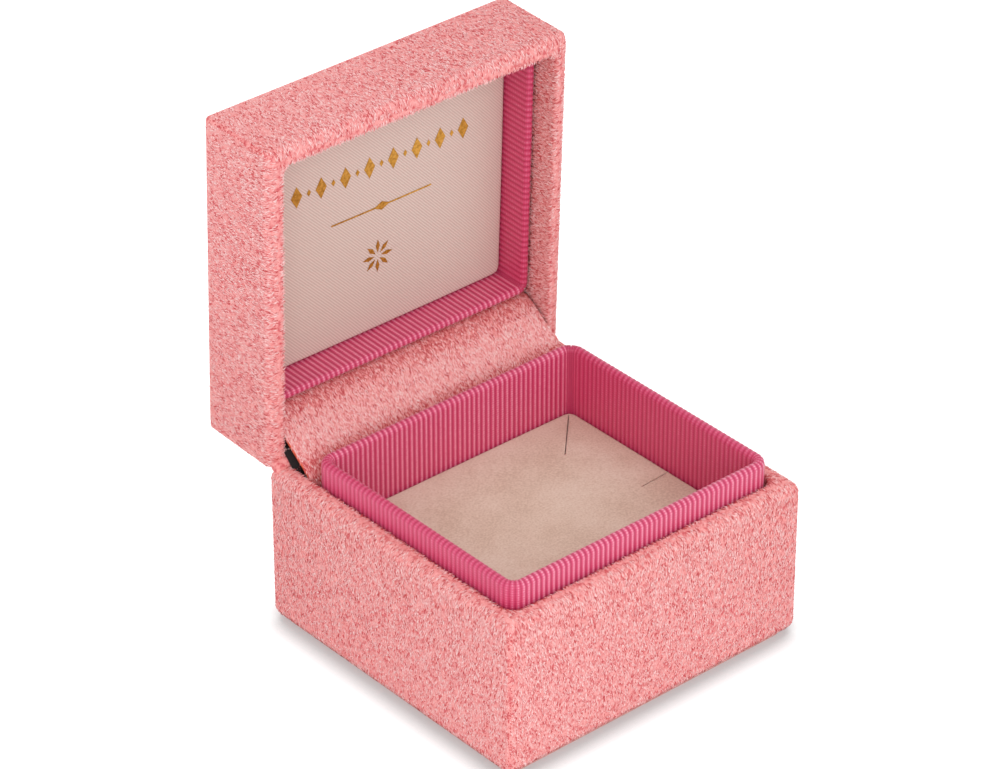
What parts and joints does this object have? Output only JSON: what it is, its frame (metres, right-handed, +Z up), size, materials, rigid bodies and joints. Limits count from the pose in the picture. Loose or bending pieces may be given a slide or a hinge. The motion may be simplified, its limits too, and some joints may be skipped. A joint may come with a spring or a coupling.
{
  "type": "jewelry box",
  "caption": "Small square presentation box with a hinged lid, covered in pink pile cloth, with a ribbon collar, a slit suede pad and a satin pad in the lid.",
  "frame": {"origin": "middle of the underside, on the surface that the box stands on", "axes": "+Z up, the front of the box faces -Y, the hinge is along X at the rear (+Y)"},
  "size_m": [0.065, 0.0791, 0.0927],
  "materials": {
    "pink_pile": "short brushed pile cloth, matt",
    "ribbed_ribbon": "ribbed grosgrain ribbon, slight sheen",
    "suede": "fine suede cloth, matt",
    "satin": "woven satin, soft sheen",
    "greyboard": "grey board, matt",
    "card": "thin card, matt",
    "foam": "soft foam, matt",
    "hinge_steel": "plated steel",
    "black_spring_steel": "blackened spring steel",
    "base_paper": "uncoated paper, matt"
  },
  "bodies": {
    "base": {"base_floor_board": "greyboard", "base_front_board": "greyboard", "base_rear_board": "greyboard", "base_left_board": "greyboard", "base_right_board": "greyboard", "base_underlay": "base_paper", "base_wrap": "pink_pile", "collar_front_card": "card", "collar_rear_card": "card", "collar_left_card": "card", "collar_right_card": "card", "collar_ribbon": "ribbed_ribbon", "pad_riser": "foam", "pad_board": "card", "pad_foam": "foam", "pad_cloth": "suede", "hinge_base_leaf": "hinge_steel", "hinge_pin": "hinge_steel", "hinge_base_rivets": "hinge_steel", "hinge_spring_strip": "black_spring_steel", "hinge_cover": "pink_pile"},
    "lid": {"lid_top_board": "greyboard", "lid_front_board": "greyboard", "lid_rear_board": "greyboard", "lid_left_board": "greyboard", "lid_right_board": "greyboard", "lid_wrap": "pink_pile", "lid_top_cover": "pink_pile", "lid_frame_front_card": "card", "lid_frame_rear_card": "card", "lid_frame_left_card": "card", "lid_frame_right_card": "card", "lid_frame_ribbon": "ribbed_ribbon", "lid_pad_board": "card", "lid_pad_foam": "foam", "lid_pad_satin": "satin", "hinge_lid_leaf": "hinge_steel", "hinge_lid_rivets": "hinge_steel"}
  },
  "joints": [
    {"name": "lid_hinge", "type": "hinge", "parent": "base", "child": "lid", "pos_m": [0, 0.03, 0.03115], "axis": [1, 0, 0], "range_deg": [0, 88], "deforming": ["hinge_cover", "hinge_spring_strip"]}
  ]
}
